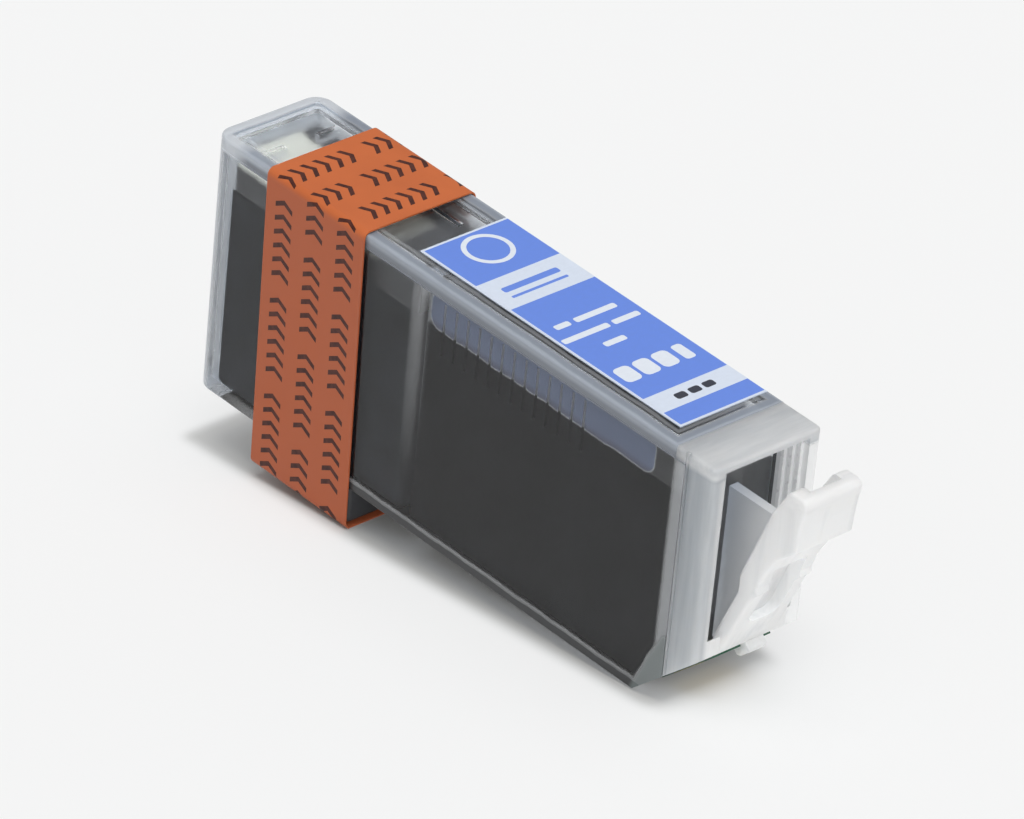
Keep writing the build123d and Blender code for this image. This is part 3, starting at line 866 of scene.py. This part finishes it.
def printField(name, start, end, base, paint, corner=0.0):
    # a thin plate between two places on the label, with rounded upright edges if asked
    low, high = spot(*start, base), spot(*end, base + labelPrint["lift"])
    bpy.ops.mesh.primitive_cube_add(size=1.0, location=(low + high) / 2, scale=high - low)
    piece = bpy.context.object
    bpy.ops.object.transform_apply(location=False, rotation=False, scale=True)
    if corner:
        roundUprights(piece, corner)
    finishPiece(piece, name, paint)


def printBlues():
    border = labelPrint["border"]
    farEdge = (labelLow.x - farEnd) / mm + border
    nearEdge = (labelHigh.x - farEnd) / mm - border
    nearSide = labelLow.y / mm + border
    farSide = labelHigh.y / mm - labelPrint["farBorder"]
    for index, (x0, x1) in enumerate(labelPrint["blues"]):
        start, end = (max(x0, farEdge), nearSide), (min(x1, nearEdge), farSide)
        printField("label_blue_%d" % (index + 1), start, end, labelTop, "blue")


def printBars():
    # plain bars and dashes
    for index, (x, y, across, along, paint) in enumerate(labelPrint["bars"]):
        start, end = (x - along / 2, y - across / 2), (x + along / 2, y + across / 2)
        base = labelTop + (labelPrint["lift"] if paint == "white" else 0.0)
        corner = min(along, across) * labelPrint["barRound"]
        printField("label_%s_bar_%d" % (paint, index + 1), start, end, base, paint, corner)


def printRing():
    # a flat ring that lies on the first blue field
    outer, lift = labelPrint["ringOuter"], labelPrint["lift"]
    center = spot(*labelPrint["ringCenter"], labelTop + labelPrint["ringBase"] * lift)
    bpy.ops.mesh.primitive_circle_add(
        vertices=labelPrint["ringPoints"], radius=outer * mm, fill_type="NOTHING", location=center)
    ring = bpy.context.object
    bpy.ops.object.mode_set(mode="EDIT")
    bpy.ops.mesh.select_all(action="SELECT")
    inner = (outer - labelPrint["ringStroke"]) / outer
    bpy.ops.mesh.extrude_region_move()
    bpy.ops.transform.resize(value=(inner, inner, 1.0))
    bpy.ops.mesh.select_all(action="SELECT")
    up = (0.0, 0.0, labelPrint["ringThick"] * lift * mm)
    bpy.ops.mesh.extrude_region_move(TRANSFORM_OT_translate={"value": up})
    bpy.ops.mesh.select_all(action="SELECT")
    bpy.ops.mesh.normals_make_consistent(inside=False)
    bpy.ops.object.mode_set(mode="OBJECT")
    finishPiece(ring, "label_ring", "white")


printBlues()
printBars()
printRing()
print("label print done")


# Floor: the plane that the part comes to rest on, at the cap's edge and at the nose's edge

floorLook = {
    "size": 8.0,
    "capEdge": (22.6, -4.23),
    "noseEdge": (61.9, 0.0),
    "color": (0.93, 0.935, 0.935),
    # painted shadow colour of the floor under the part and at its outline
    "contact": (0.52, 0.52, 0.51),
    "roughness": 0.9,
    "glow": (0.925, 0.928, 0.928),
    "glowShare": 0.75,
    "glowAndShadowFrom": 2.6,
    "glowFull": 16.0,
    "glowNear": 0.72,
    "length": 63.5,
    "half": 6.3,
    "farHalf": 5.3,
    "farLength": 22.0,
    "noseSoft": 0.5,
    "liftedShare": 0.29,
    "farLift": 14.0,
    "noseLift": (58.0, 64.0),
    "noseShare": 0.7,
}


def floorGlow(tree):
    # the glow fades towards the part's outline, and less so where the part stands off the floor; the
    # outline mask also darkens the floor's colour as a painted shadow
    look = floorLook
    x, y = axesInMm(tree)[:2]
    beyond = times(tree, minus(tree, x, look["length"]), look["noseSoft"])
    half = ramp(tree, x, 0.0, look["farLength"], look["farHalf"], look["half"])
    past = minus(tree, absolute(tree, y), half)
    away = outside(tree, most(tree, times(tree, x, -1.0), beyond), past)
    near = ramp(tree, away, 0.0, look["glowAndShadowFrom"], smooth=True)
    wide = ramp(tree, away, 0.0, look["glowFull"], look["glowNear"], 1.0)
    atFarEnd = ramp(tree, x, 0.0, look["farLift"], 1.0, 0.0)
    lifted = most(tree, atFarEnd, ramp(tree, x, *look["noseLift"], 0.0, look["noseShare"]))
    lifted = times(tree, lifted, look["liftedShare"])
    return near, most(tree, times(tree, near, wide), lifted)


def makeFloor():
    look = floorLook
    (x0, z0), (x1, z1) = look["capEdge"], look["noseEdge"]
    tilt = math.atan2(z1 - z0, x1 - x0)
    middle = spot(x0, 0.0, z0)
    bpy.ops.mesh.primitive_plane_add(size=look["size"], location=middle, rotation=(0.0, -tilt, 0.0))
    floor = bpy.context.object
    bpy.ops.object.transform_apply(location=True, rotation=True, scale=True)
    floor.name = "floor"
    material, tree, shader = startMaterial("paleFloor", look["color"], look["roughness"])
    shader.inputs["Specular IOR Level"].default_value = 0.0
    near, strength = floorGlow(tree)
    # painted shadow: the floor's colour turns grey under the part and at its outline
    feed(tree, shader, Base_Color=blendColor(tree, near, look["contact"], look["color"]))
    # a pale sweep that keeps a soft share of the part's shadow
    path = addNode(tree, "LightPath").outputs
    seen = most(tree, path["Is Camera Ray"], path["Is Glossy Ray"], path["Is Transmission Ray"])
    share = times(tree, seen, look["glowShare"], strength)
    glow = addNode(tree, "Emission", Color=(*look["glow"], 1.0), Strength=1.0)
    mix = addNode(tree, "MixShader", in0=share, in1=shader.outputs[0], in2=glow.outputs[0])
    tree.links.new(mix.outputs[0], tree.nodes["Material Output"].inputs["Surface"])
    floor.data.materials.append(material)
    floor.select_set(False)


# Light: a soft key from above, a second one without shadow on the lever's end, and a white room

lightLook = {
    "key": {"energy": 1.42, "comesFrom": (0.04, -0.14, 0.98), "spread": 30.0, "shadow": True},
    "front": {"energy": 0.8, "comesFrom": (0.84, -0.2, 0.5), "spread": 40.0, "shadow": False},
    "fill": 0.4,
    "backdrop": 0.93,
}


def makeSun(name, energy, comesFrom, spread, shadow):
    data = bpy.data.lights.new(name, "SUN")
    data.energy = energy
    data.angle = math.radians(spread)
    data.use_shadow = shadow
    lamp = bpy.data.objects.new(name, data)
    lamp.rotation_mode = "QUATERNION"
    lamp.rotation_quaternion = Vector(comesFrom).to_track_quat("Z", "Y")
    bpy.context.scene.collection.objects.link(lamp)


def makeLight():
    makeSun("softKey", **lightLook["key"])
    makeSun("softFront", **lightLook["front"])
    world = bpy.data.worlds.new("studio")
    bpy.context.scene.world = world
    world.use_nodes = True
    tree = world.node_tree
    back = tree.nodes["Background"]
    back.inputs["Color"].default_value = (1.0, 1.0, 1.0, 1.0)
    path = addNode(tree, "LightPath").outputs
    seen = most(tree, path["Is Camera Ray"], path["Is Transmission Ray"])
    feed(tree, back, Strength=ramp(tree, seen, 0.0, 1.0, lightLook["fill"], lightLook["backdrop"]))


cameraLook = {
    "place": (514.94, -468.28, 441.91),  # mm from the far end, middle plane and underside
    "right": (0.65823, 0.74823, 0.08296),
    "up": (-0.45174, 0.30443, 0.8386),
    "back": (0.60222, -0.58947, 0.53839),
    "lens": 303.5,
    "sensor": 36.0,
    "clip": (0.01, 30.0),
}


def makeCamera():
    data = bpy.data.cameras.new("camera")
    data.lens = cameraLook["lens"]
    data.sensor_width = cameraLook["sensor"]
    data.clip_start, data.clip_end = cameraLook["clip"]
    camera = bpy.data.objects.new("camera", data)
    turn = Matrix([cameraLook["right"], cameraLook["up"], cameraLook["back"]]).transposed().to_4x4()
    camera.matrix_world = Matrix.Translation(spot(*cameraLook["place"])) @ turn
    bpy.context.scene.collection.objects.link(camera)
    bpy.context.scene.camera = camera


renderLook = {"transparent": 32, "transmission": 16, "total": 20}  # bounces that the clear walls need

makeFloor()
makeLight()
makeCamera()
scene = bpy.context.scene
scene.view_settings.view_transform = "Standard"
scene.cycles.transparent_max_bounces = renderLook["transparent"]
scene.cycles.transmission_bounces = renderLook["transmission"]
scene.cycles.max_bounces = renderLook["total"]
print("floor, light and camera done")
